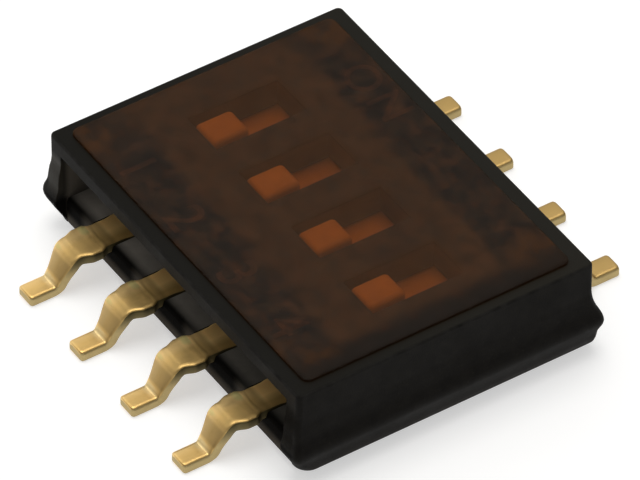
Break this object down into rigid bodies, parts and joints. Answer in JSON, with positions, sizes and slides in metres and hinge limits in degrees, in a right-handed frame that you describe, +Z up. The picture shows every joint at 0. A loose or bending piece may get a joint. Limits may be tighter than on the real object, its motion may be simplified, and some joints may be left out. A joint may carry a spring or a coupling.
{
  "type": "dip switch",
  "caption": "Low surface-mount slide switch with side-by-side sliders under an amber seal film, a black housing with a stepped side, and gold gull-wing leads.",
  "frame": {"origin": "middle of the footprint, on the plane of the solder feet", "axes": "+X along the row of poles, from the first pole to the last; +Y the way the sliders travel from the rest pose, towards the end where the poles close; +Z up from the board"},
  "size_m": [0.0064, 0.007, 0.0016],
  "materials": {
    "black_plastic": "fine moulded texture, satin",
    "base_plastic": "matte moulded, glass filled",
    "amber_film": "thin see-through film with adhesive",
    "slider_plastic": "satin moulded",
    "plated_strip": "satin gold plating",
    "plated_spring": "bright gold plating"
  },
  "bodies": {
    "housing": {"base": "base_plastic", "cover": "black_plastic", "seal_film": "amber_film", "lead_front_1": "plated_strip", "lead_front_2": "plated_strip", "lead_front_3": "plated_strip", "lead_front_4": "plated_strip", "lead_back_1": "plated_strip", "lead_back_2": "plated_strip", "lead_back_3": "plated_strip", "lead_back_4": "plated_strip"},
    "actuator_1": {"slider_1": "slider_plastic", "bridge_1": "plated_spring"},
    "actuator_2": {"slider_2": "slider_plastic", "bridge_2": "plated_spring"},
    "actuator_3": {"slider_3": "slider_plastic", "bridge_3": "plated_spring"},
    "actuator_4": {"slider_4": "slider_plastic", "bridge_4": "plated_spring"}
  },
  "joints": [
    {"name": "pole_1_slide", "type": "slide", "parent": "housing", "child": "actuator_1", "axis": [0, 1, 0], "range_m": [0, 0.0008]},
    {"name": "pole_2_slide", "type": "slide", "parent": "housing", "child": "actuator_2", "axis": [0, 1, 0], "range_m": [0, 0.0008]},
    {"name": "pole_3_slide", "type": "slide", "parent": "housing", "child": "actuator_3", "axis": [0, 1, 0], "range_m": [0, 0.0008]},
    {"name": "pole_4_slide", "type": "slide", "parent": "housing", "child": "actuator_4", "axis": [0, 1, 0], "range_m": [0, 0.0008]}
  ]
}
